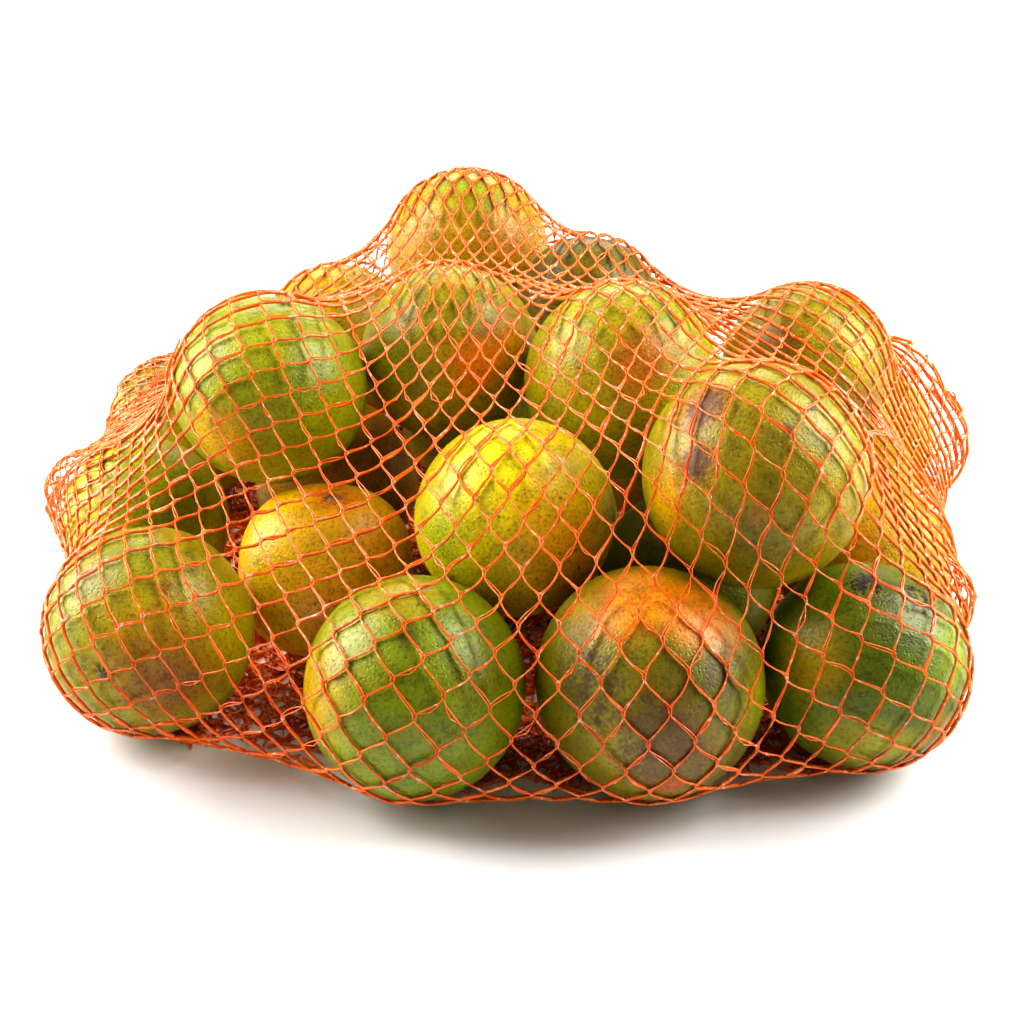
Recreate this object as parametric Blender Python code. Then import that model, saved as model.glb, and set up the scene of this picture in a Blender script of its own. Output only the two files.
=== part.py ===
"""Net of oranges: one closed body, the outer shape of a mesh sack lying over its pile of fruit.

Each orange is given by where it lies in plan and how thick it is. Its height follows: it comes
straight down until it rests. The skin is then a stretched membrane over all of them, so it is
round on the fruit, dips between them as a drawn net does and is flat where the sack rests.
"""
import bmesh
import bpy
import numpy as np

MM = 0.001

# ---------- driving dimensions, millimetres ----------
STRAND = 1.0             # thickness of the net, and so how far the skin stands off the peel
GRIP = 0.55              # share of the way that a skin point moves to its neighbours' middle
STEPS = 700              # rounds of tightening
EVENNESS = 2.0           # how much harder a long edge pulls than a short one
SKIN_LEVEL = 5           # subdivision of the ball that is drawn in: 5,120 triangles
BALL_SLACK = 1.3         # how much bigger than the pile the ball starts
FLAT = 4.0               # skin this close to the ground lies on it

# Plan position and diameter of each orange, in the order in which they are laid.
FLOOR_LAYER = [
    (-137, -111, 77), (-38, -151, 80), (44, -150, 83), (122, -133, 75),      # front row
    (-153, -22, 69), (-76, -63, 71), (64, -68, 70), (134, -55, 70),          # second row
    (2, -23, 75), (-78, 13, 70), (-150, 63, 67), (144, 48, 73), (70, 34, 74),
    (-19, 78, 72), (57, 111, 74), (-20, 158, 68), (-90, 126, 72),            # back
]
UPPER_LAYER = [
    (-3, -91, 75), (82, -110, 81), (-98, -30, 76), (-29, -2, 72), (38, -35, 76),
    (116, 9, 69), (-79, 66, 65), (29, 73, 65), (-24, 121, 75),
]

# Loose pockets of net that stand off the fruit: centre x, y, z and diameter.
POCKETS = [
    (-178, -6, 39, 38),      # left, above the low fruit at that side
    (166, 48, 38, 60),       # right, round the hindmost fruit
    (157, 48, 60, 50),
    (153, -91, 40, 33),      # right, above the front fruit
]


def laid_pile():
    """Centres and radii: each orange comes down on the ground or on the ones before it."""
    centres, radii = [], []
    for x, y, size in FLOOR_LAYER + UPPER_LAYER:
        r = size / 2
        z = r + STRAND
        for (ox, oy, oz), other in zip(centres, radii):
            room = (r + other) ** 2 - (x - ox) ** 2 - (y - oy) ** 2
            if room > 0:
                z = max(z, oz + room ** 0.5)
        centres.append((x, y, z))
        radii.append(r)
    return np.array(centres), np.array(radii)


def ball_round(low, high):
    """A triangulated ball that clears the box low-high."""
    bm = bmesh.new()
    bmesh.ops.create_icosphere(bm, subdivisions=SKIN_LEVEL, radius=1.0)
    bm.verts.ensure_lookup_table()
    points = np.array([v.co[:] for v in bm.verts])
    edges = np.array([[v.index for v in e.verts] for e in bm.edges])
    faces = [[v.index for v in f.verts] for f in bm.faces]
    bm.free()
    middle = (low + high) / 2
    reach = (high - low) / 2 * BALL_SLACK + 20
    return middle + points * reach, edges, faces


def drawn_in(points, edges, centres, radii):
    """Tightens the ball: points move to their neighbours' middle, then out of every solid.

    A long edge pulls harder, which keeps the points evenly spread.
    """
    one, two = edges.T
    for _ in range(STEPS):
        pull = np.linalg.norm(points[one] - points[two], axis=1) ** EVENNESS
        weight = np.bincount(one, pull, len(points)) + np.bincount(two, pull, len(points))
        total = np.zeros_like(points)
        np.add.at(total, one, points[two] * pull[:, None])
        np.add.at(total, two, points[one] * pull[:, None])
        points = points + GRIP * (total / weight[:, None] - points)
        for centre, r in zip(centres, radii):
            away = points - centre
            gap = np.linalg.norm(away, axis=1)
            inside = gap < r
            points[inside] = centre + away[inside] * (r / gap[inside])[:, None]
        points[:, 2] = np.maximum(points[:, 2], 0.0)
    points[points[:, 2] < FLAT, 2] = 0.0
    return points


def make_body(name, points, faces, material):
    mesh = bpy.data.meshes.new(name)
    mesh.from_pydata([tuple(p) for p in points * MM], [], faces)
    mesh.materials.append(material)
    mesh.validate()
    body = bpy.data.objects.new(name, mesh)
    bpy.context.scene.collection.objects.link(body)
    return body


def plain_material(name, colour, roughness):
    material = bpy.data.materials.new(name)
    material.use_nodes = True
    shader = material.node_tree.nodes["Principled BSDF"]
    shader.inputs["Base Color"].default_value = (*colour, 1.0)
    shader.inputs["Roughness"].default_value = roughness
    return material


def main():
    for old in list(bpy.data.objects):
        bpy.data.objects.remove(old, do_unlink=True)
    centres, radii = laid_pile()
    held = np.array([p[:3] for p in POCKETS], float)
    centres = np.vstack([centres, held])
    radii = np.concatenate([radii + STRAND, [p[3] / 2 for p in POCKETS]])
    low = (centres - radii[:, None]).min(axis=0)
    high = (centres + radii[:, None]).max(axis=0)
    points, edges, faces = ball_round(low, high)
    points = drawn_in(points, edges, centres, radii)
    middle = (points.min(axis=0) + points.max(axis=0)) / 2
    points[:, :2] -= middle[:2]
    print("skin middle", middle, "size", points.max(axis=0) - points.min(axis=0))
    net = plain_material("knitted_polythene_net", (0.85, 0.16, 0.02), 0.4)
    make_body("net_of_oranges", points, faces, net)


main()
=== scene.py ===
"""Net of oranges: 26 half-green oranges in a knitted polythene net, lying on a pale floor.

The pile is laid as it is in the CAD part. A skin is drawn tight over it, the grain of the knitted
net is laid out on that skin, and the strands are then run along the grain from joint to joint.
Sizes are in millimetres until a mesh is made.
"""
import math

import bmesh
import bpy
import numpy as np
from mathutils import Euler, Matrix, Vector


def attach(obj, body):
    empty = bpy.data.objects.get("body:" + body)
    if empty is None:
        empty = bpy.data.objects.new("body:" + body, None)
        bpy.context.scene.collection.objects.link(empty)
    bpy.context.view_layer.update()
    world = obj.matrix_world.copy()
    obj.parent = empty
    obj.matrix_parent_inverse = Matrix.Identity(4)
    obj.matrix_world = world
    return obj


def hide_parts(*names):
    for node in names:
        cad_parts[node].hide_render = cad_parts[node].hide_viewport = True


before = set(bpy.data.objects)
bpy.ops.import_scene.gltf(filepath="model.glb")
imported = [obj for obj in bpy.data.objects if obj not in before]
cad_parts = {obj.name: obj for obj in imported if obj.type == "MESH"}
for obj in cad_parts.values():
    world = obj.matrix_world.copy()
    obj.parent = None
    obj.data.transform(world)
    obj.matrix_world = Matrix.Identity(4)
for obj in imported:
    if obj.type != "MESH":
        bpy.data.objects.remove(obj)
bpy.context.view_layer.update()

MM = 0.001

# ---------- the pile ----------
STRAND = 1.0                       # thickness of the net under and over the fruit
PILE_SHIFT = (0.37, -0.23)         # centres the outer skin of the sack on the frame's origin

# Name, plan position and diameter of each orange, in the order in which they are laid.
PILE = [
    ("front_1", -137, -111, 77), ("front_2", -38, -151, 80),
    ("front_3", 44, -150, 83), ("front_4", 122, -133, 75),
    ("second_1", -153, -22, 69), ("second_2", -76, -63, 71),
    ("second_3", 64, -68, 70), ("second_4", 134, -55, 70),
    ("middle_1", 2, -23, 75), ("middle_2", -78, 13, 70), ("side_left", -150, 63, 67),
    ("side_right", 144, 48, 73), ("middle_3", 70, 34, 74), ("back_1", -19, 78, 72),
    ("back_2", 57, 111, 74), ("back_3", -20, 158, 68), ("back_4", -90, 126, 72),
    ("upper_1", -3, -91, 75), ("upper_2", 82, -110, 81), ("upper_3", -98, -30, 76),
    ("upper_4", -29, -2, 72), ("upper_5", 38, -35, 76), ("upper_6", 116, 9, 69),
    ("upper_7", -79, 66, 65), ("upper_8", 29, 73, 65), ("top", -24, 121, 75),
]

# Loose pockets of net that stand off the fruit: centre x, y, z and diameter.
POCKETS = [(-178, -6, 39, 38), (166, 48, 38, 60), (157, 48, 60, 50), (153, -91, 40, 33)]


def laid_pile():
    """Centres and radii: each orange comes down on the ground or on the ones before it."""
    centres, radii = [], []
    for _, x, y, size in PILE:
        r = size / 2
        z = r + STRAND
        for (ox, oy, oz), other in zip(centres, radii):
            room = (r + other) ** 2 - (x - ox) ** 2 - (y - oy) ** 2
            if room > 0:
                z = max(z, oz + room ** 0.5)
        centres.append((x, y, z))
        radii.append(r)
    return np.array(centres) + (*PILE_SHIFT, 0), np.array(radii)


CENTRES, RADII = laid_pile()


# ---------- small helpers ----------
def srgb(text, alpha=1.0):
    """A hex colour as linear RGBA."""
    def linear(v):
        return v / 12.92 if v <= 0.04045 else ((v + 0.055) / 1.055) ** 2.4
    text = text.lstrip("#")
    return tuple(linear(int(text[i:i + 2], 16) / 255) for i in (0, 2, 4)) + (alpha,)


def add_node(tree, kind, links=(), **settings):
    """A node with its settings and its links: links is a list of (input, output socket or value)."""
    node = tree.nodes.new(kind)
    for key, value in settings.items():
        setattr(node, key, value)
    for name, value in links:
        socket = node.inputs[name]
        if isinstance(value, bpy.types.NodeSocket):
            tree.links.new(value, socket)
        else:
            socket.default_value = value
    return node


def smooth_step(x):
    x = np.clip(x, 0.0, 1.0)
    return x * x * (3 - 2 * x)


def unit(v):
    return v / (np.linalg.norm(v, axis=-1, keepdims=True) + 1e-12)


# ---------- seen from the front ----------
EYE = (-3.63, -734.73, 431.7)      # millimetres
LOOK_DOWN = 28.8                   # degrees below the horizon
LENS = 70.3                        # for a 36 mm wide sensor
FORWARD = np.array([0.0, math.cos(math.radians(LOOK_DOWN)), -math.sin(math.radians(LOOK_DOWN))])
UPWARD = np.array([0.0, math.sin(math.radians(LOOK_DOWN)), math.cos(math.radians(LOOK_DOWN))])


def facing(right, up):
    """Direction of a place on an orange, from how far right and up of its middle it is seen."""
    near = math.sqrt(max(0.0, 1 - right ** 2 - up ** 2))
    return np.array([right, 0.0, 0.0]) + up * UPWARD - near * FORWARD


# ---------- the skin that the net lies in ----------
NET_CLEAR = 0.7              # middle of a strand above the peel
GRIP = 0.55                  # share of the way that a skin point moves to its neighbours' middle
SAG = 0.05                   # how far the slack lets the skin sink in each round
BALL_SLACK = 1.3


def edge_pairs(faces):
    sides = np.vstack([faces[:, [0, 1]], faces[:, [1, 2]], faces[:, [2, 0]]])
    return np.unique(np.sort(sides, 1), axis=0, return_inverse=True)


def split(points, faces):
    """Each triangle into four."""
    pairs, place = edge_pairs(faces)
    ab, bc, ca = len(points) + place.reshape(3, -1)
    a, b, c = faces.T
    small = [(a, ab, ca), (ab, b, bc), (ca, bc, c), (ab, bc, ca)]
    return (np.vstack([points, points[pairs].mean(1)]),
            np.vstack([np.stack(t, 1) for t in small]))


def drawn_in(points, faces, solids, reach, rounds, sag):
    """Tightens the skin, lets it sag a little and keeps it out of every solid and the ground."""
    one, two = edge_pairs(faces)[0].T
    n = len(points)
    for _ in range(rounds):
        pull = ((points[one] - points[two]) ** 2).sum(1)
        weight = np.bincount(one, pull, n) + np.bincount(two, pull, n)
        total = np.stack([np.bincount(one, points[two, a] * pull, n)
                          + np.bincount(two, points[one, a] * pull, n) for a in range(3)], 1)
        points = points + GRIP * (total / weight[:, None] - points)
        points[:, 2] -= sag
        for centre, r in zip(solids, reach):
            away = points - centre
            square = (away * away).sum(1)
            inside = square < r * r
            points[inside] = centre + away[inside] * (r / np.sqrt(square[inside]))[:, None]
        points[:, 2] = np.maximum(points[:, 2], NET_CLEAR)
    return points


def net_skin():
    """The tight skin over the pile and its loose pockets: points, faces and outward normals."""
    bm = bmesh.new()
    bmesh.ops.create_icosphere(bm, subdivisions=5, radius=1.0)
    points = np.array([v.co[:] for v in bm.verts])
    faces = np.array([[v.index for v in f.verts] for f in bm.faces])
    bm.free()
    solids = np.vstack([CENTRES, np.array([q[:3] for q in POCKETS]) + (*PILE_SHIFT, 0)])
    reach = np.concatenate([RADII + NET_CLEAR, [q[3] / 2 for q in POCKETS]])
    low = (solids - reach[:, None]).min(axis=0)
    high = (solids + reach[:, None]).max(axis=0)
    points = (low + high) / 2 + points * ((high - low) / 2 * BALL_SLACK + 20)
    points = drawn_in(points, faces, solids, reach, 450, 4 * SAG)
    points, faces = split(points, faces)
    points = drawn_in(points, faces, solids, reach, 250, SAG)
    a, b, c = points[faces].transpose(1, 0, 2)
    flat = np.cross(b - a, c - a)
    normals = np.stack([sum(np.bincount(faces[:, k], flat[:, i], len(points)) for k in range(3))
                        for i in range(3)], 1)
    return points, faces, unit(normals)


# ---------- the grain of the net ----------
# How the strands run over each orange, seen from the front: angle and length in millimetres of
# the strands that rise to the left, then of those that rise to the right.
GRAIN = {
    "front_1": (105, 11, 17, 10), "front_2": (115, 12, 35, 10), "front_3": (122, 12.5, 58, 12.5),
    "front_4": (150, 12, 88, 12), "second_1": (97, 11, 18, 10), "second_2": (115, 12, 22, 11),
    "second_4": (150, 11, 80, 10), "upper_3": (105, 11, 12, 10), "upper_4": (118, 11, 52, 11),
    "upper_1": (122, 12.5, 56, 12.5), "upper_5": (130, 11, 66, 11), "upper_2": (137, 11, 72, 11),
    "top": (125, 11, 55, 11), "upper_6": (128, 9.5, 12, 8.5), "upper_8": (130, 10, 55, 10),
    "side_left": (120, 9, 45, 8), "side_right": (120, 9, 60, 6),
    (-175, -36, 60): (100, 8, 30, 7), (174, 11, 61): (120, 9, 55, 6), (165, -97, 50): (130, 10, 95, 8),
}
GRAIN_BLEND = 15.0           # distance over which one orange's grain goes over into the next's
BEHIND = 0.12                # weight of the grain where it isn't seen from the front
WIDEST = 16.0                # a cell of the net over the pile isn't drawn wider than this
SKIRT_CELL = 10.5            # strand from joint to joint round the back
UNDER = 4                    # rings of skin triangles that the net reaches in under the pile
JOINT_HALF = 0.07            # half the length of a joint, as a share of a strand


def turned(e, a, b):
    """e carried along by the smallest turn from a to b."""
    axis, cos = np.cross(a, b), (a * b).sum(-1, keepdims=True)
    e = np.broadcast_to(e, axis.shape)
    return (e * cos + np.cross(axis, e)
            + axis * (axis * e).sum(-1, keepdims=True) / (1 + cos + 1e-3))


def grain_field(points, normals):
    """At each skin point, the strand that rises to the left and the one that rises to the right."""
    middles = {name: centre for (name, *_), centre in zip(PILE, CENTRES)}
    left, right = np.zeros_like(points), np.zeros_like(points)
    sizes = np.zeros((2, len(points)))
    total = np.zeros(len(points))
    for place, (left_angle, left_size, right_angle, right_size) in GRAIN.items():
        ray = unit(np.array(middles.get(place, place), float) - EYE)
        along = (points - EYE) @ ray
        near = np.flatnonzero(np.linalg.norm(points - EYE - along[:, None] * ray, axis=1) < 6)
        spot = near[np.argmin(along[near])]
        out = normals[spot]
        apart = ((points - points[spot]) ** 2).sum(1) + GRAIN_BLEND ** 2
        weight = apart ** -2 * np.clip(1.15 + normals @ out, 0.02, 2)
        for field, angle, size in ((left, left_angle, left_size), (right, right_angle, right_size)):
            seen = np.array([math.cos(math.radians(angle)), 0, 0])
            seen = seen + math.sin(math.radians(angle)) * UPWARD
            depth = FORWARD @ out
            if abs(depth) > 0.15:
                seen = seen - FORWARD * (seen @ out) / depth
            else:
                seen = seen - out * (seen @ out)
            field += weight[:, None] * turned(unit(seen) * size, out, normals)
        sizes += weight * np.array([[left_size], [right_size]])
        total += weight
    return [unit(field) * (size / total)[:, None] for field, size in zip((left, right), sizes)]


def wider(mask, pairs, rings):
    """A set of skin points grown by some rings of triangles."""
    one, two = pairs.T
    for _ in range(rings):
        grown_mask = mask.copy()
        grown_mask[one] |= mask[two]
        grown_mask[two] |= mask[one]
        mask = grown_mask
    return mask


def counted(points, pairs, left, right, trust, kept):
    """Strands counted across the skin, so that they run as the fields say as nearly as they can."""
    one, two = pairs[kept[pairs].all(1)].T
    ll, lr, rr = (left * left).sum(1), (left * right).sum(1), (right * right).sum(1)
    area = (ll * rr - lr * lr + 1e-6)[:, None]
    slopes = ((rr[:, None] * left - lr[:, None] * right) / area,
              (ll[:, None] * right - lr[:, None] * left) / area)
    weight = np.maximum(trust[one], trust[two])
    step, n = points[two] - points[one], len(points)

    def spread(flow):
        return np.bincount(two, flow, n) - np.bincount(one, flow, n)

    diagonal = np.bincount(one, weight, n) + np.bincount(two, weight, n) + 1e-9
    counts = []
    for slope in slopes:                      # conjugate gradients
        rest = spread(weight * (step * (slope[one] + slope[two]) * 0.5).sum(1))
        count, eased = np.zeros(n), rest / diagonal
        way, size = eased.copy(), rest @ eased
        for _ in range(600):
            change = spread(weight * (way[two] - way[one]))
            share = size / (way @ change)
            count += share * way
            rest = rest - share * change
            eased = rest / diagonal
            size, old = rest @ eased, size
            way = eased + size / old * way
            if size < 1e-12:
                break
        counts.append(count)
    return counts


def grain_counts(points, faces, normals):
    """The counts of the net over the pile, and the points that have net."""
    pairs = edge_pairs(faces)[0]
    kept = wider(points[:, 2] > 3.0, pairs, UNDER)
    seen = (normals * (EYE - points)).sum(1) > 0
    left, right = grain_field(points, normals)
    left, right = counted(points, pairs, left, right, np.where(seen, 1.0, BEHIND), kept)
    return left, right, kept


def skirt_counts(skin, left, right, kept):
    """The counts of the net round the back of the pile, where the net over the pile runs out.

    Gives the counts, the points of that skirt and the points that the net over the pile keeps.
    """
    points, faces, normals = skin
    pairs = edge_pairs(faces)[0]
    a, b, corners = left[faces], right[faces], points[faces]
    area = (a[:, 1] - a[:, 0]) * (b[:, 2] - b[:, 0]) - (a[:, 2] - a[:, 0]) * (b[:, 1] - b[:, 0])
    real = np.linalg.norm(np.cross(corners[:, 1] - corners[:, 0], corners[:, 2] - corners[:, 0]), axis=1)
    slack = np.zeros(len(points), bool)
    slack[faces[real > -area * WIDEST ** 2]] = True
    seen = (normals * (EYE - points)).sum(1) > 0
    hidden = ~wider(seen, pairs, 2) & (points[:, 1] > 0) & (points[:, 2] < 75)
    bare = wider(slack & hidden, pairs, 1) & kept
    skirt = wider(bare, pairs, 3) & kept & ~seen
    rise = np.array([0.0, 0.0, 1.0]) - normals * normals[:, 2:]
    steep = np.linalg.norm(rise, axis=1)
    rise = rise / (steep[:, None] + 1e-6)
    along = np.cross(rise, normals)
    field = [(0.85 * rise + side * along) * SKIRT_CELL for side in (-0.53, 0.53)]
    counts = counted(points, pairs, *field, steep ** 2 + 0.02, wider(skirt, pairs, 4) & kept)
    return *counts, skirt, kept & ~bare


def crossings(skin, left, right, kept, left_off, right_off):
    """Where both counts are whole numbers plus the given parts.

    {(left, right): [(point, normal), ...]}, as the same two counts may come again at the back.
    """
    points, faces, normals = skin
    faces = faces[kept[faces].all(1)]
    a, b = left[faces] - left_off, right[faces] - right_off
    area = ((a[:, 1] - a[:, 0]) * (b[:, 2] - b[:, 0]) - (a[:, 2] - a[:, 0]) * (b[:, 1] - b[:, 0]))
    found = {}
    for i in range(4):
        for j in range(4):
            x, y = np.ceil(a.min(1)) + i, np.ceil(b.min(1)) + j
            k = np.flatnonzero((x <= a.max(1)) & (y <= b.max(1)) & (np.abs(area) > 1e-9))
            dx, dy = x[k] - a[k, 0], y[k] - b[k, 0]
            u = (dx * (b[k, 2] - b[k, 0]) - (a[k, 2] - a[k, 0]) * dy) / area[k]
            v = ((a[k, 1] - a[k, 0]) * dy - dx * (b[k, 1] - b[k, 0])) / area[k]
            hit = (u >= -1e-6) & (v >= -1e-6) & (u + v <= 1 + 1e-6)
            for face, s, t in zip(k[hit], u[hit], v[hit]):
                share = np.array([1 - s - t, s, t])
                point = share @ points[faces[face]]
                spots = found.setdefault((int(x[face]), int(y[face])), [])
                if all(((point - other) ** 2).sum() > 9 for other, _ in spots):
                    spots.append((point, unit(share @ normals[faces[face]])))
    return found


# ---------- the net: knitted strands ----------
PAIR_GAP = 0.9               # between the two chains that run side by side through a joint
TAPE_WIDTH = 1.45
SEAT_WIDTH = 2.2             # under the pile the tapes are pressed flat
SECTORS = 48                 # in which the foot of the sack is measured
TAPE_THICK = 0.5
LACE_WIDTH = 0.9             # the thin filament that laces the chains together
LACE_THICK = 0.4
FULL_CELL = 11.5             # strand from joint to joint where a tape has its full width
WANDER = 0.45                # how far a strand strays from its straight way
LONGEST = 24.0               # no strand between two joints is longer


def nearest(spots, place, reach):
    """The spot nearest to a place, or None where none is within reach."""
    best = min(spots, key=lambda spot: ((spot[0] - place) ** 2).sum(), default=None)
    return best if best and ((best[0] - place) ** 2).sum() < reach ** 2 else None


def knitted(skin, left, right, kept, rng, lift=0.0):
    """The tapes and the lacing threads of a net: lists of paths, each with its facing."""
    low = crossings(skin, left, right, kept, -JOINT_HALF, -JOINT_HALF)
    high = crossings(skin, left, right, kept, JOINT_HALF, JOINT_HALF)
    leftward = crossings(skin, left, right, kept, 0.5, 0.0)
    rightward = crossings(skin, left, right, kept, 0.0, 0.5)
    joints = {}
    for key, spots in low.items():
        for spot in spots:
            end = nearest(high.get(key, ()), spot[0], LONGEST / 2)
            if end:
                joints.setdefault(key, []).append(spot + end)
    tapes, laces = [], []

    def next_key(key, wale):
        i, j = key
        return (i, j + 1) if (i + j) % 2 == wale else (i + 1, j)

    def last_key(key, wale):
        i, j = key
        return (i, j - 1) if (i + j + 1) % 2 == wale else (i - 1, j)

    def follow(key, joint, wale):
        """One chain from its first joint to where it ends."""
        tape, lace, outs = [], [], []
        while joint:
            a, out_a, b, out_b = joint
            side = 1 if sum(key) % 2 == wale else -1
            across = unit(np.cross(b - a, out_a)) * side * PAIR_GAP
            tape += [a + 0.5 * across, b + 0.5 * across]
            lace += [a + 0.75 * across + 0.3 * out_a, b - 0.65 * across + 0.35 * out_b]
            outs += [out_a, out_b]
            after = next_key(key, wale)
            joint = nearest(joints.get(after, ()), b, LONGEST)
            bars = rightward if after[1] > key[1] else leftward
            bar = joint and nearest(bars.get(key, ()), (b + joint[0]) / 2, LONGEST / 2)
            if bar:
                middle, out = bar
                stray = unit(np.cross(out, joint[0] - b)) * WANDER
                tape.append(middle + stray * rng.normal() * 0.6)
                lace.append(middle + stray * rng.normal() * 1.3 + 0.3 * out)
                outs.append(out)
            key = after
        if len(tape) > 3:
            outs = np.array(outs)
            tapes.append((np.array(tape) + lift * outs, outs))
            laces.append((np.array(lace) + lift * outs, outs))

    for wale in (0, 1):
        for key in sorted(joints):
            for joint in joints[key]:
                if not nearest(joints.get(last_key(key, wale), ()), joint[0], LONGEST):
                    follow(key, joint, wale)
    return tapes, laces


# Where the net lies double: place, reach, how much denser the upper layer is, its slant.
FOLDS = [((-160, 40, 64), 42, 1.5, 0.55), ((-180, -22, 55), 30, 1.25, 0.3),
         ((172, 20, 60), 36, 0.9, -0.35), ((166, -97, 48), 22, 1.2, -0.3)]
# Gathers, where strands run together: two ends, number of strands and spread in millimetres.
GATHERS = [((134, -40, 94), (176, -34, 40), 7, 2.4), ((112, -113, 132), (140, -42, 84), 4, 1.6),
           ((-168, -12, 66), (-134, -30, 116), 6, 2.6), ((-186, -24, 46), (-166, -4, 64), 5, 2.0),
           ((136, -40, 90), (146, -42, 76), 8, 2.2), ((-172, 20, 60), (-150, 62, 72), 5, 3.0)]


def fold_layers(skin, left, right, kept, rng):
    """The second layer of net where the sack is slack and lies double."""
    points = skin[0]
    tapes, laces = [], []
    for place, reach, dense, slant in FOLDS:
        near = kept & (np.linalg.norm(points - np.array(place), axis=1) < reach)
        more = knitted(skin, dense * (left + slant * right) + 0.37, dense * right + 0.61, near, rng,
                       lift=0.9)
        tapes += more[0]
        laces += more[1]
    return tapes, laces


def gathered(skin, rng):
    """Bunches of strands pulled together along a crease of the net."""
    points, _, normals = skin
    paths = []
    for start, end, count, spread in GATHERS:
        way = np.linspace(start, end, 12)
        for _ in range(count):
            phase, side = rng.uniform(0, 6.28), rng.normal() * spread
            path, outs = [], []
            for k, spot in enumerate(way):
                near = np.argmin(((points - spot) ** 2).sum(1))
                out = normals[near]
                along = unit(np.array(end, float) - start)
                stray = unit(np.cross(along, out))
                fan = 0.45 + 0.9 * abs(k / 11 - 0.5) ** 1.2 * 2
                height = (points[near] - spot) @ out
                path.append(spot + out * (height + 0.6 + 0.5 * rng.random())
                            + stray * (side * fan + 0.7 * math.sin(phase + 0.9 * k)))
                outs.append(out)
            paths.append((np.array(path), np.array(outs)))
    return paths


def seat_paths(skin):
    """The slack of the net under the pile: flat layers on the ground, each a little turned."""
    ground = skin[0][skin[0][:, 2] < 1.5]
    sector = np.arctan2(ground[:, 1], ground[:, 0]) / (2 * math.pi) * SECTORS
    foot = [np.linalg.norm(ground[np.abs((sector - k + SECTORS / 2) % SECTORS - SECTORS / 2) < 1, :2],
                           axis=1).max() for k in range(SECTORS)]
    paths = []
    wide, tall = 10.0, 8.0
    for layer, turn in enumerate((0.0, 0.3, -0.22, 0.6, -0.5)):
        cos, sin = math.cos(turn), math.sin(turn)
        for column in range(-18, 19):
            for mirror in (1, -1):
                path = []
                for row in range(-22, 23):
                    x = wide * (column + 0.5 * mirror * (row % 2)) + mirror * PAIR_GAP / 2
                    y = row * tall
                    x, y = x * cos - y * sin, x * sin + y * cos
                    edge = foot[round(math.atan2(y, x) / (2 * math.pi) * SECTORS) % SECTORS]
                    if math.hypot(x, y) < edge - 4:
                        path.append((x, y, 0.2 + 0.14 * layer))
                if len(path) > 3:
                    path = np.array(path)
                    paths.append((path, np.tile([0.0, 0.0, -1.0], (len(path), 1))))
    return paths


def path_mesh(name, paths):
    """Open polylines as a mesh of edges, with the way that each point faces.

    Where the mesh is drawn small, its tapes are rolled thinner.
    """
    verts, edges, outs, girth = [], [], [], []
    for path, normal in paths:
        start = len(verts)
        ends = np.clip(np.arange(len(path))[:, None] + (-3, 3), 0, len(path) - 1)
        span = np.linalg.norm(path[ends[:, 1]] - path[ends[:, 0]], axis=1) / (ends[:, 1] - ends[:, 0])
        girth += list(np.clip(3 * span / FULL_CELL, 0.55, 1.1))
        verts += [tuple(v) for v in path * MM]
        outs += [tuple(v) for v in normal]
        edges += [(start + i, start + i + 1) for i in range(len(path) - 1)]
    mesh = bpy.data.meshes.new(name)
    mesh.from_pydata(verts, edges, [])
    layer = mesh.attributes.new("facing", "FLOAT_VECTOR", "POINT")
    layer.data.foreach_set("vector", np.array(outs, np.float32).ravel())
    mesh.attributes.new("radius", "FLOAT", "POINT").data.foreach_set("value", girth)
    obj = bpy.data.objects.new(name, mesh)
    bpy.context.scene.collection.objects.link(obj)
    return obj


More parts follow.
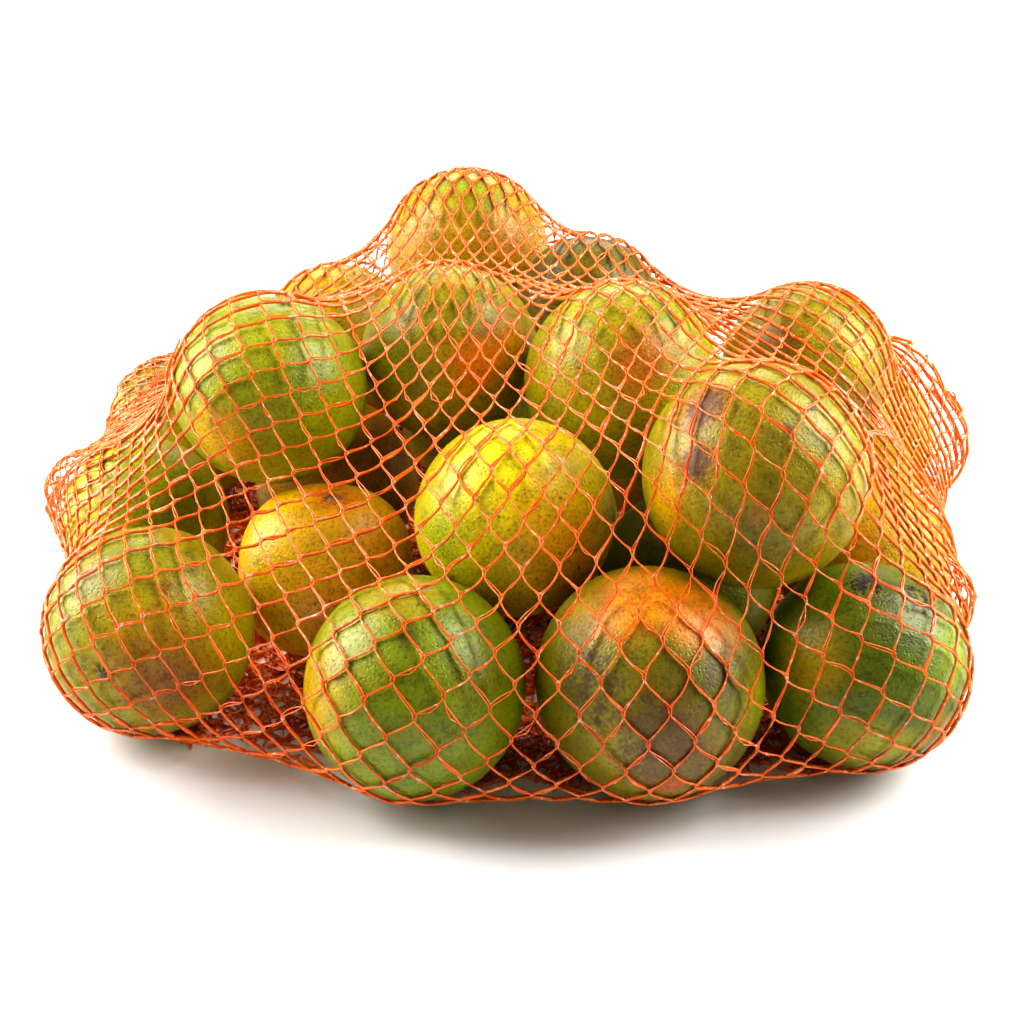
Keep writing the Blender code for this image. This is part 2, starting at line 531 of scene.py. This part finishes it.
def strand_tree():
    """Geometry Nodes: a flat tape with a changing twist along every path of the input mesh."""
    tree = bpy.data.node_groups.new("knitted_strands", "GeometryNodeTree")
    for name, kind in (("Geometry", "NodeSocketGeometry"), ("Width", "NodeSocketFloat"),
                       ("Thickness", "NodeSocketFloat"), ("Twist", "NodeSocketFloat"),
                       ("Twist Scale", "NodeSocketFloat"), ("Steps", "NodeSocketInt"),
                       ("Finish", "NodeSocketMaterial")):
        tree.interface.new_socket(name, in_out="INPUT", socket_type=kind)
    tree.interface.new_socket("Geometry", in_out="OUTPUT", socket_type="NodeSocketGeometry")
    given = add_node(tree, "NodeGroupInput").outputs
    curve = add_node(tree, "GeometryNodeMeshToCurve", [("Mesh", given["Geometry"])])
    spline = add_node(tree, "GeometryNodeCurveSplineType", [("Curve", curve.outputs[0])],
                      spline_type="CATMULL_ROM")
    steps = add_node(tree, "GeometryNodeSetSplineResolution",
                     [("Geometry", spline.outputs[0]), ("Resolution", given["Steps"])])
    facing = add_node(tree, "GeometryNodeInputNamedAttribute", [("Name", "facing")],
                      data_type="FLOAT_VECTOR")
    turned = add_node(tree, "GeometryNodeSetCurveNormal",
                      [("Curve", steps.outputs[0]), ("Normal", facing.outputs["Attribute"])],
                      mode="FREE")
    noise = add_node(tree, "ShaderNodeTexNoise", [("Scale", given["Twist Scale"]), ("Detail", 1.0)])
    centred = add_node(tree, "ShaderNodeMath", [(0, noise.outputs[0]), (1, 0.5)],
                       operation="SUBTRACT")
    tilt = add_node(tree, "ShaderNodeMath", [(0, centred.outputs[0]), (1, given["Twist"])],
                    operation="MULTIPLY")
    tilted = add_node(tree, "GeometryNodeSetCurveTilt",
                      [("Curve", turned.outputs[0]), ("Tilt", tilt.outputs[0])])
    along = add_node(tree, "GeometryNodeSplineParameter")
    measured = add_node(tree, "GeometryNodeStoreNamedAttribute",
                        [("Geometry", tilted.outputs[0]), ("Name", "along"),
                         ("Value", along.outputs["Length"])], data_type="FLOAT", domain="POINT")
    profile = add_node(tree, "GeometryNodeCurvePrimitiveQuadrilateral",
                       [("Width", given["Width"])], mode="KITE")
    for name in ("Bottom Height", "Top Height"):
        half = add_node(tree, "ShaderNodeMath", [(0, given["Thickness"]), (1, 0.5)],
                        operation="MULTIPLY")
        tree.links.new(half.outputs[0], profile.inputs[name])
    tube = add_node(tree, "GeometryNodeCurveToMesh",
                    [("Curve", measured.outputs[0]), ("Profile Curve", profile.outputs[0]),
                     ("Fill Caps", True)])
    shaded = add_node(tree, "GeometryNodeSetShadeSmooth", [("Geometry", tube.outputs[0])])
    real = add_node(tree, "GeometryNodeRealizeInstances", [("Geometry", shaded.outputs[0])])
    done = add_node(tree, "GeometryNodeSetMaterial",
                    [("Geometry", real.outputs[0]), ("Material", given["Finish"])])
    add_node(tree, "NodeGroupOutput", [(0, done.outputs[0])])
    return tree


def grown(obj, tree, values, name):
    """Runs the tree on obj with its named inputs set, and keeps the result as a plain mesh."""
    modifier = obj.modifiers.new("grow", "NODES")
    modifier.node_group = tree
    for item in tree.interface.items_tree:
        if item.in_out == "INPUT" and item.name in values:
            modifier[item.identifier] = values[item.name]
    bpy.context.view_layer.update()
    evaluated = obj.evaluated_get(bpy.context.evaluated_depsgraph_get())
    mesh = bpy.data.meshes.new_from_object(evaluated)
    mesh.name = name
    places = np.empty(3 * len(mesh.vertices), np.float32)
    mesh.vertices.foreach_get("co", places)
    places[2::3] = np.maximum(places[2::3], 0.0)            # nothing dips into the ground
    mesh.vertices.foreach_set("co", places)
    bpy.data.objects.remove(obj, do_unlink=True)
    piece = bpy.data.objects.new(name, mesh)
    bpy.context.scene.collection.objects.link(piece)
    return piece


# ---------- materials ----------
def maths(tree, operation, *values, clamp=False):
    return add_node(tree, "ShaderNodeMath", list(enumerate(values)), operation=operation,
                    use_clamp=clamp).outputs[0]


def mixed(tree, share, one, two, blend="MIX"):
    node = add_node(tree, "ShaderNodeMix", data_type="RGBA", blend_type=blend)
    for socket, value in ((node.inputs[0], share), (node.inputs[6], one), (node.inputs[7], two)):
        if isinstance(value, bpy.types.NodeSocket):
            tree.links.new(value, socket)
        else:
            socket.default_value = value
    return node.outputs[2]


def ramped(tree, value, low, high):
    """0 below low, 1 above high, smooth between."""
    node = add_node(tree, "ShaderNodeMapRange", [("Value", value), ("From Min", low),
                                                 ("From Max", high)],
                    interpolation_type="SMOOTHSTEP")
    return node.outputs[0]


def new_material(name, roughness, ior):
    material = bpy.data.materials.new(name)
    material.use_nodes = True
    tree = material.node_tree
    shader = tree.nodes["Principled BSDF"]
    shader.inputs["Roughness"].default_value = roughness
    shader.inputs["IOR"].default_value = ior
    return material, tree, shader


def net_polythene():
    """Knitted split-film polythene: waxy orange-red tape that catches glints where it twists, with pale glints also
    painted into its colour in streaks.
    """
    material, tree, shader = new_material("knitted_polythene_net", 0.3, 1.51)
    place = add_node(tree, "ShaderNodeTexCoord").outputs["Object"]
    bump_and_painted_glint_streaks = add_node(tree, "ShaderNodeTexNoise", [("Vector", place), ("Scale", 1 / (2.2 * MM)),
                                                    ("Detail", 2.0)]).outputs[0]
    patches = add_node(tree, "ShaderNodeTexNoise", [("Vector", place), ("Scale", 1 / (16 * MM)),
                                                    ("Detail", 2.0)]).outputs[0]
    colour = mixed(tree, ramped(tree, patches, 0.35, 0.65), srgb("#FF6A10"), srgb("#FF8230"))
    # painted highlight: pale glints painted into the tape colour where the streak noise is high
    colour = mixed(tree, ramped(tree, bump_and_painted_glint_streaks, 0.56, 0.72), colour, srgb("#FFC4A4"))
    bump = add_node(tree, "ShaderNodeBump", [("Height", bump_and_painted_glint_streaks), ("Strength", 0.4),
                                             ("Distance", 0.2 * MM)])
    tree.links.new(colour, shader.inputs["Base Color"])
    tree.links.new(bump.outputs[0], shader.inputs["Normal"])
    return material


def orange_peel():
    """Orange peel, waxed by its own oil: pitted gloss over mottled green, yellow and orange.

    Pores are about 0.85 mm apart in life and drawn at 1.3 mm, so that they still show.
    """
    material, tree, shader = new_material("orange_peel", 0.36, 1.42)
    tone = add_node(tree, "ShaderNodeAttribute", attribute_name="peel_tone").outputs["Color"]
    wear = add_node(tree, "ShaderNodeAttribute", attribute_name="peel_wear").outputs["Color"]
    parts = add_node(tree, "ShaderNodeSeparateColor", [("Color", wear)]).outputs
    russet, soot = parts[0], parts[1]
    place = add_node(tree, "ShaderNodeTexCoord").outputs["Object"]

    def noise(size, detail):
        return add_node(tree, "ShaderNodeTexNoise", [("Vector", place), ("Scale", 1 / (size * MM)),
                                                     ("Detail", detail), ("Roughness", 0.6)]
                        ).outputs[0]

    cloud, mottle, grain = noise(11, 3.0), noise(4.5, 3.0), noise(1.3, 2.0)
    # clouds of darker and yellower peel, then a fine mottle
    deep = mixed(tree, 1.0, tone, srgb("#C4CC90"), "MULTIPLY")
    warm = mixed(tree, 1.0, tone, srgb("#FFEE90"), "MULTIPLY")
    colour = mixed(tree, maths(tree, "MULTIPLY", ramped(tree, cloud, 0.42, 0.7), 0.7), tone, deep)
    colour = mixed(tree, maths(tree, "MULTIPLY", ramped(tree, mottle, 0.48, 0.66), 0.7), colour, warm)
    dark = mixed(tree, 1.0, colour, srgb("#ACA070"), "MULTIPLY")
    colour = mixed(tree, maths(tree, "MULTIPLY", ramped(tree, grain, 0.42, 0.78), 0.8), colour, dark)
    # russet: dry grey-brown patches with ragged edges
    ragged = maths(tree, "ADD", maths(tree, "MULTIPLY", mottle, 0.6),
                   maths(tree, "MULTIPLY", grain, 0.55))
    rough = ramped(tree, maths(tree, "ADD", ragged, maths(tree, "MULTIPLY", russet, 0.42)), 0.72, 0.95)
    rough = maths(tree, "MULTIPLY", rough, maths(tree, "MULTIPLY", russet, 1.6, clamp=True))
    colour = mixed(tree, maths(tree, "MULTIPLY", rough, 0.75), colour, srgb("#5C4632"))
    # soot: black mould in small blots
    blots = ramped(tree, maths(tree, "ADD", ragged, maths(tree, "MULTIPLY", soot, 0.35)), 0.78, 0.86)
    blots = maths(tree, "MULTIPLY", blots, maths(tree, "MULTIPLY", soot, 3.0, clamp=True))
    colour = mixed(tree, blots, colour, srgb("#17120E"))
    # single dark specks
    spots = add_node(tree, "ShaderNodeTexVoronoi", [("Vector", place), ("Scale", 1 / (7.0 * MM))])
    picked = add_node(tree, "ShaderNodeSeparateColor", [("Color", spots.outputs["Color"])]).outputs[0]
    speck = maths(tree, "MULTIPLY", ramped(tree, spots.outputs["Distance"], 0.13, 0.05),
                  ramped(tree, picked, 0.45, 0.75))
    colour = mixed(tree, maths(tree, "MULTIPLY", speck, 0.65), colour, srgb("#4A3412"))
    tree.links.new(colour, shader.inputs["Base Color"])
    gloss = maths(tree, "ADD", 0.3, maths(tree, "MULTIPLY", cloud, 0.14))
    gloss = maths(tree, "ADD", gloss, maths(tree, "MULTIPLY", rough, 0.12))
    tree.links.new(gloss, shader.inputs["Roughness"])
    pores = add_node(tree, "ShaderNodeTexVoronoi",
                     [("Vector", place), ("Scale", 1 / (1.3 * MM))]).outputs["Distance"]
    pits = ramped(tree, pores, 0.1, 0.5)
    height = maths(tree, "ADD", pits, maths(tree, "MULTIPLY", grain, 0.8))
    bump = add_node(tree, "ShaderNodeBump", [("Height", height), ("Strength", 0.55),
                                             ("Distance", 0.22 * MM)])
    tree.links.new(bump.outputs[0], shader.inputs["Normal"])
    return material


# ---------- the oranges ----------
AROUND, DOWN = 88, 46
# Ground colour of each orange, then its patches: how far right and up they are seen on it, their
# reach in radians, colour, strength, and how russet and how sooty they are.
PEEL = {
    "front_1": ("#AB9C07", [(-0.75, 0.15, 0.8, "#A1A80D", 0.8, 0, 0), (0.0, 0.8, 0.6, "#869304", 0.6, 0, 0),
                            (0.4, -0.5, 0.75, "#9A5F06", 0.85, 0.5, 0), (0.3, 0.45, 0.16, "#6C3703", 0.8, 0.3, 0),
                            (-0.3, -0.75, 0.5, "#999D07", 0.7, 0, 0), (0.05, 0.1, 0.4, "#C99908", 0.5, 0.2, 0)]),
    "front_2": ("#859404", [(-0.7, 0.4, 0.7, "#ACAA0B", 0.6, 0, 0), (-0.9, -0.1, 0.6, "#E7AD08", 0.6, 0, 0),
                            (0.1, -0.8, 0.6, "#6E8504", 0.5, 0, 0), (0.7, 0.1, 0.5, "#777903", 0.6, 0.15, 0),
                            (0.0, 0.5, 0.14, "#595603", 0.8, 0, 0.35), (-0.1, 0.85, 0.4, "#B98B07", 0.5, 0.1, 0)]),
    "front_3": ("#807804", [(-0.1, 0.8, 0.6, "#EC9506", 0.9, 0.15, 0), (0.3, 0.6, 0.5, "#EF8D04", 0.85, 0.05, 0),
                            (-0.6, 0.6, 0.45, "#C49E06", 0.7, 0.1, 0), (-0.55, 0.0, 0.6, "#939806", 0.5, 0.7, 0),
                            (0.0, -0.55, 0.75, "#7E5914", 0.8, 0.7, 0), (0.5, 0.15, 0.5, "#647009", 0.6, 0.7, 0),
                            (0.88, -0.2, 0.5, "#A6A909", 0.85, 0, 0), (0.16, -0.79, 0.13, "#D25406", 0.9, 0, 0),
                            (-0.35, -0.5, 0.35, "#A69E05", 0.6, 0.4, 0)]),
    "front_4": ("#697B02", [(0.0, -0.7, 0.7, "#B3AD06", 0.7, 0, 0), (-0.6, 0.0, 0.5, "#C4A405", 0.6, 0, 0),
                            (0.8, 0.2, 0.5, "#99B20D", 0.7, 0, 0), (-0.1, 0.85, 0.5, "#614404", 0.7, 0.2, 0.9),
                            (0.4, 0.72, 0.35, "#7A6905", 0.6, 0.1, 0.7), (0.65, -0.6, 0.3, "#C47B0D", 0.5, 0.4, 0)]),
    "second_1": ("#B2C005", [(-0.6, 0.3, 0.7, "#EFE209", 0.6, 0, 0), (0.6, 0.0, 0.7, "#677502", 0.8, 0, 0)]),
    "second_2": ("#EFBA05", [(-0.6, 0.2, 0.6, "#EFCB06", 0.6, 0, 0), (0.1, 0.8, 0.5, "#EF7D06", 0.8, 0.5, 0.2),
                             (0.2, -0.4, 0.6, "#EF9604", 0.6, 0, 0), (0.6, 0.2, 0.5, "#EFA705", 0.6, 0.1, 0)]),
    "second_3": ("#6A6A05", [(0.0, 0.5, 0.5, "#7C7504", 0.5, 0.1, 0)]),
    "second_4": ("#D9A505", [(0.6, 0.2, 0.6, "#C0B306", 0.6, 0, 0), (-0.2, 0.2, 0.3, "#E19304", 0.6, 0, 0)]),
    "upper_1": ("#E3D606", [(-0.3, 0.3, 0.8, "#EFE707", 0.75, 0, 0), (-0.75, -0.1, 0.5, "#C1D605", 0.7, 0, 0),
                            (0.5, -0.4, 0.7, "#EFB005", 0.85, 0, 0), (-0.6, -0.6, 0.12, "#513103", 0.9, 0, 0.3),
                            (0.0, -0.85, 0.5, "#E2B004", 0.6, 0, 0)]),
    "upper_2": ("#A69706", [(-0.5, 0.6, 0.35, "#AA651D", 0.85, 0.8, 0), (-0.62, 0.1, 0.28, "#AA651D", 0.8, 0.8, 0),
                            (-0.85, -0.2, 0.4, "#E8AC06", 0.7, 0, 0), (0.6, 0.4, 0.6, "#B5AD0D", 0.5, 0, 0),
                            (0.0, -0.7, 0.7, "#757403", 0.75, 0, 0), (0.25, 0.0, 0.5, "#8B7E04", 0.6, 0.1, 0),
                            (0.4, 0.55, 0.08, "#583804", 0.9, 0, 0.8), (0.18, 0.38, 0.07, "#412603", 0.9, 0, 0.8),
                            (-0.1, -0.35, 0.2, "#C97006", 0.5, 0.2, 0)]),
    "upper_3": ("#A3AC08", [(-0.4, -0.6, 0.55, "#EFC407", 0.85, 0, 0), (0.5, 0.0, 0.5, "#7E9204", 0.6, 0, 0),
                            (0.0, 0.6, 0.5, "#B6B50D", 0.5, 0.3, 0), (-0.5, 0.3, 0.4, "#C2BD16", 0.5, 0.3, 0)]),
    "upper_4": ("#A8A304", [(0.35, -0.2, 0.5, "#EF8A05", 0.9, 0.1, 0), (0.7, 0.1, 0.4, "#EFA606", 0.7, 0.1, 0),
                            (-0.6, 0.0, 0.6, "#869103", 0.7, 0, 0), (0.0, 0.75, 0.4, "#EFBF0D", 0.6, 0.3, 0)]),
    "upper_5": ("#B1AB07", [(0.1, 0.1, 0.55, "#D87E07", 0.8, 0.15, 0), (-0.65, -0.1, 0.5, "#D1C116", 0.6, 0.3, 0),
                            (0.3, -0.6, 0.5, "#A18306", 0.6, 0.1, 0), (0.45, 0.6, 0.4, "#919E06", 0.6, 0.1, 0)]),
    "upper_6": ("#A29106", [(-0.5, 0.1, 0.6, "#8F6A05", 0.8, 0.3, 0), (0.4, 0.1, 0.6, "#C5BA08", 0.7, 0, 0),
                            (0.6, -0.5, 0.4, "#A27011", 0.5, 0.4, 0)]),
    "upper_7": ("#C9AB06", [(0.3, 0.2, 0.5, "#A19B06", 0.6, 0, 0)]),
    "upper_8": ("#716A04", [(0.0, 0.6, 0.4, "#907F07", 0.5, 0.1, 0)]),
    "side_right": ("#C9B916", [(0.2, 0.3, 0.5, "#B7C01D", 0.5, 0, 0)]),
    "side_left": ("#ADAB0A", [(0.3, 0.0, 0.5, "#C5AF09", 0.5, 0, 0)]),
    "top": ("#C4A307", [(0.0, 0.75, 0.6, "#98A408", 0.8, 0, 0), (0.6, -0.1, 0.5, "#CA8705", 0.7, 0, 0),
                        (-0.5, -0.3, 0.5, "#D09405", 0.6, 0.1, 0)]),
    "middle_1": ("#8B8A05", []), "middle_2": ("#AD8005", []), "middle_3": ("#B29605", []),
    "back_1": ("#9AA104", []), "back_2": ("#E4A704", []), "back_3": ("#B4A209", []),
    "back_4": ("#EFA106", []),
}
STEMS = {"front_1": (-0.3, -0.38), "side_left": (-0.25, 0.1), "upper_3": (0.2, 0.93)}
GROUPS = {"oranges_front": ("front_1", "front_2", "front_3", "front_4", "second_1", "second_2"),
          "oranges_upper": ("upper_1", "upper_2", "upper_3", "upper_4", "upper_5", "upper_6"),
          "oranges_sides": ("second_3", "second_4", "side_left", "side_right", "upper_7",
                            "upper_8", "top"),
          "oranges_inside": ("middle_1", "middle_2", "middle_3", "back_1", "back_2", "back_3",
                             "back_4")}


def wavy(directions, rng, count, pitch):
    """Smooth random lumps over the sphere, about -1 to 1."""
    total = np.zeros(len(directions))
    for _ in range(count):
        total += np.sin(directions @ (unit(rng.normal(size=3)) * pitch) + rng.uniform(0, 6.28))
    return total / count ** 0.5 / 1.2


def ball_faces():
    faces = []
    for i in range(DOWN - 2):
        for j in range(AROUND):
            k = (j + 1) % AROUND
            faces.append((i * AROUND + j, (i + 1) * AROUND + j, (i + 1) * AROUND + k,
                          i * AROUND + k))
    top, low, last = (DOWN - 1) * AROUND, (DOWN - 1) * AROUND + 1, (DOWN - 2) * AROUND
    for j in range(AROUND):
        k = (j + 1) % AROUND
        faces += [(j, k, top), (last + k, last + j, low)]
    return faces


def orange_shape(name, centre, radius, rng):
    """Points, tone and wear of one orange: lumpy, flat at its ends, with a stem button."""
    share = np.linspace(0, 1, DOWN + 1)[1:-1]
    polar = math.pi * (share - 0.06 * np.sin(2 * math.pi * share))     # finer at stem and navel
    turn = np.arange(AROUND) * 2 * math.pi / AROUND
    rings = np.stack([np.sin(polar)[:, None] * np.cos(turn), np.sin(polar)[:, None] * np.sin(turn),
                      np.repeat(np.cos(polar)[:, None], AROUND, 1)], -1).reshape(-1, 3)
    local = np.vstack([rings, [[0, 0, 1], [0, 0, -1]]])
    stem = facing(*STEMS[name]) if name in STEMS else unit(rng.normal(size=3) + (0, 1.2, 0.2))
    world = local @ np.array(Vector((0, 0, 1)).rotation_difference(Vector(stem)).to_matrix()).T
    lumps = wavy(world, rng, 5, 2.6) * 0.008 + wavy(world, rng, 6, 6.0) * 0.0035
    height = 1.0 - 0.035 * local[:, 2] ** 2 - 0.008 + np.minimum(lumps, 0.012)
    if name == "second_2":                                              # a squarish fruit
        axes = np.abs(np.stack([world[:, 0], world @ UPWARD, world @ FORWARD], 1))
        height = 0.955 * (axes ** 2.3).sum(1) ** (-1 / 2.3) + lumps * 0.5
    angle = np.arccos(np.clip(local[:, 2], -1, 1)) * radius             # millimetres from the stem
    spin = np.arctan2(local[:, 1], local[:, 0])
    dip = -1.9 * np.exp(-(angle / 6.5) ** 2) - 0.35 * np.exp(-(angle / 9) ** 2) * np.cos(7 * spin)
    button = 1.5 * np.exp(-(angle / 2.6) ** 6)
    points = centre + world * (radius * height + dip + button)[:, None]
    ground, patches = PEEL[name]
    tone = np.tile(np.array(srgb(ground)[:3]), (len(world), 1))
    wear = np.zeros((len(world), 2))
    wear[:, 0] = 0.06
    for right, up, reach, colour, strength, russet, soot in patches:
        apart = np.arccos(np.clip(world @ facing(right, up), -1, 1))
        edge = 1 + 0.35 * wavy(world, rng, 4, 5.0)
        share = smooth_step(1.25 * (1 - apart / (reach * edge)))
        tone += (share * strength)[:, None] * (np.array(srgb(colour)[:3]) - tone)
        wear[:, 0] = np.maximum(wear[:, 0], share * russet)
        wear[:, 1] = np.maximum(wear[:, 1], share * soot)
    tone *= (1 + 0.10 * wavy(world, rng, 6, 4.0))[:, None]
    scar = np.exp(-(angle / 3.2) ** 4)[:, None]
    tone += scar * (np.array(srgb("#7A6A4A")[:3]) - tone)
    return points, np.clip(tone, 0, 1), wear


def orange_group(name, members, rng, material):
    """Several oranges as one piece."""
    rows = {entry[0]: k for k, entry in enumerate(PILE)}
    one = ball_faces()
    points, tones, wears, faces = [], [], [], []
    for member in members:
        k = rows[member]
        shape = orange_shape(member, CENTRES[k], RADII[k], rng)
        start = sum(len(p) for p in points)
        faces += [tuple(start + i for i in face) for face in one]
        for store, value in zip((points, tones, wears), shape):
            store.append(value)
    points, tones, wears = (np.vstack(part) for part in (points, tones, wears))
    mesh = bpy.data.meshes.new(name)
    mesh.from_pydata([tuple(v) for v in points * MM], [], faces)
    mesh.polygons.foreach_set("use_smooth", [True] * len(mesh.polygons))
    full = np.ones((len(points), 1))
    for layer_name, values in (("peel_tone", np.hstack([tones, full])),
                               ("peel_wear", np.hstack([wears, 0 * full, full]))):
        layer = mesh.attributes.new(layer_name, "FLOAT_COLOR", "POINT")
        layer.data.foreach_set("color", values.astype(np.float32).ravel())
    mesh.materials.append(material)
    piece = bpy.data.objects.new(name, mesh)
    bpy.context.scene.collection.objects.link(piece)
    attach(piece, "root")
    return piece


# ---------- stage ----------
def make_camera():
    data = bpy.data.cameras.new("camera")
    data.sensor_width = 36.0
    data.lens = LENS
    data.clip_start, data.clip_end = 0.01, 50.0
    camera = bpy.data.objects.new("camera", data)
    camera.location = Vector(EYE) * MM
    camera.rotation_euler = Euler((math.radians(90 - LOOK_DOWN), 0, 0))
    bpy.context.scene.collection.objects.link(camera)
    bpy.context.scene.camera = camera


def soft_light(name, place, size, watts, aim=(0, 0, 0.06)):
    data = bpy.data.lights.new(name, "AREA")
    data.shape = "RECTANGLE"
    data.size, data.size_y = size
    data.energy = watts
    light = bpy.data.objects.new(name, data)
    light.location = place
    light.rotation_euler = (Vector(aim) - Vector(place)).to_track_quat("-Z", "Y").to_euler()
    bpy.context.scene.collection.objects.link(light)


def make_stage():
    material = bpy.data.materials.new("white_card")
    material.use_nodes = True
    shader = material.node_tree.nodes["Principled BSDF"]
    shader.inputs["Base Color"].default_value = srgb("#F4F3F1")
    shader.inputs["Roughness"].default_value = 0.8
    mesh = bpy.data.meshes.new("floor")
    half = 6.0
    mesh.from_pydata([(-half, -half, 0), (half, -half, 0), (half, half, 0), (-half, half, 0)], [],
                     [(0, 1, 2, 3)])
    mesh.materials.append(material)
    floor = bpy.data.objects.new("floor", mesh)
    bpy.context.scene.collection.objects.link(floor)
    world = bpy.data.worlds.new("studio")
    world.use_nodes = True
    world.node_tree.nodes["Background"].inputs["Color"].default_value = srgb("#FFFFFF")
    world.node_tree.nodes["Background"].inputs["Strength"].default_value = 0.22
    bpy.context.scene.world = world
    soft_light("left_softbox", (-1.0, 0.15, 0.6), (0.8, 1.1), 27)
    soft_light("right_softbox", (0.95, 0.05, 0.75), (0.8, 1.1), 27)
    soft_light("back_softbox", (0.0, 3.2, 1.6), (3.0, 1.2), 60, (0.0, 1.4, 0.0))
    bpy.context.scene.view_settings.view_transform = "Standard"
    bpy.context.scene.view_settings.look = "Medium High Contrast"


def main():
    make_stage()
    make_camera()
    rng = np.random.default_rng(7)
    peel = orange_peel()
    for name, members in GROUPS.items():
        orange_group(name, members, rng, peel)
    film = net_polythene()
    skin = net_skin()
    left, right, kept = grain_counts(*skin)
    *skirt, behind, over = skirt_counts(skin, left, right, kept)
    tapes, laces = knitted(skin, left, right, over, rng)
    more = fold_layers(skin, left, right, over, rng)
    half = len(tapes) // 2
    rest = knitted(skin, *skirt, behind, rng)
    tapes += rest[0]
    laces += rest[1]
    tree = strand_tree()
    layout = (("net_left_chains", tapes[:half], TAPE_WIDTH, TAPE_THICK, 3),
              ("net_right_chains", tapes[half:], TAPE_WIDTH, TAPE_THICK, 3),
              ("net_left_lacing", laces[:half], LACE_WIDTH, LACE_THICK, 2),
              ("net_right_lacing", laces[half:], LACE_WIDTH, LACE_THICK, 2),
              ("net_folds", more[0] + gathered(skin, rng), TAPE_WIDTH * 0.62, TAPE_THICK, 2),
              ("net_seat", seat_paths(skin), SEAT_WIDTH, 0.25, 1))
    for name, paths, width, thick, steps in layout:
        piece = grown(path_mesh(name + "_paths", paths), tree,
                      {"Width": width * MM, "Thickness": thick * MM, "Twist": 2.4,
                       "Twist Scale": 120.0, "Steps": steps, "Finish": film}, name)
        print(name, len(paths), "paths", len(piece.data.polygons), "faces")
        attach(piece, "root")
        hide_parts("net_of_oranges")


main()
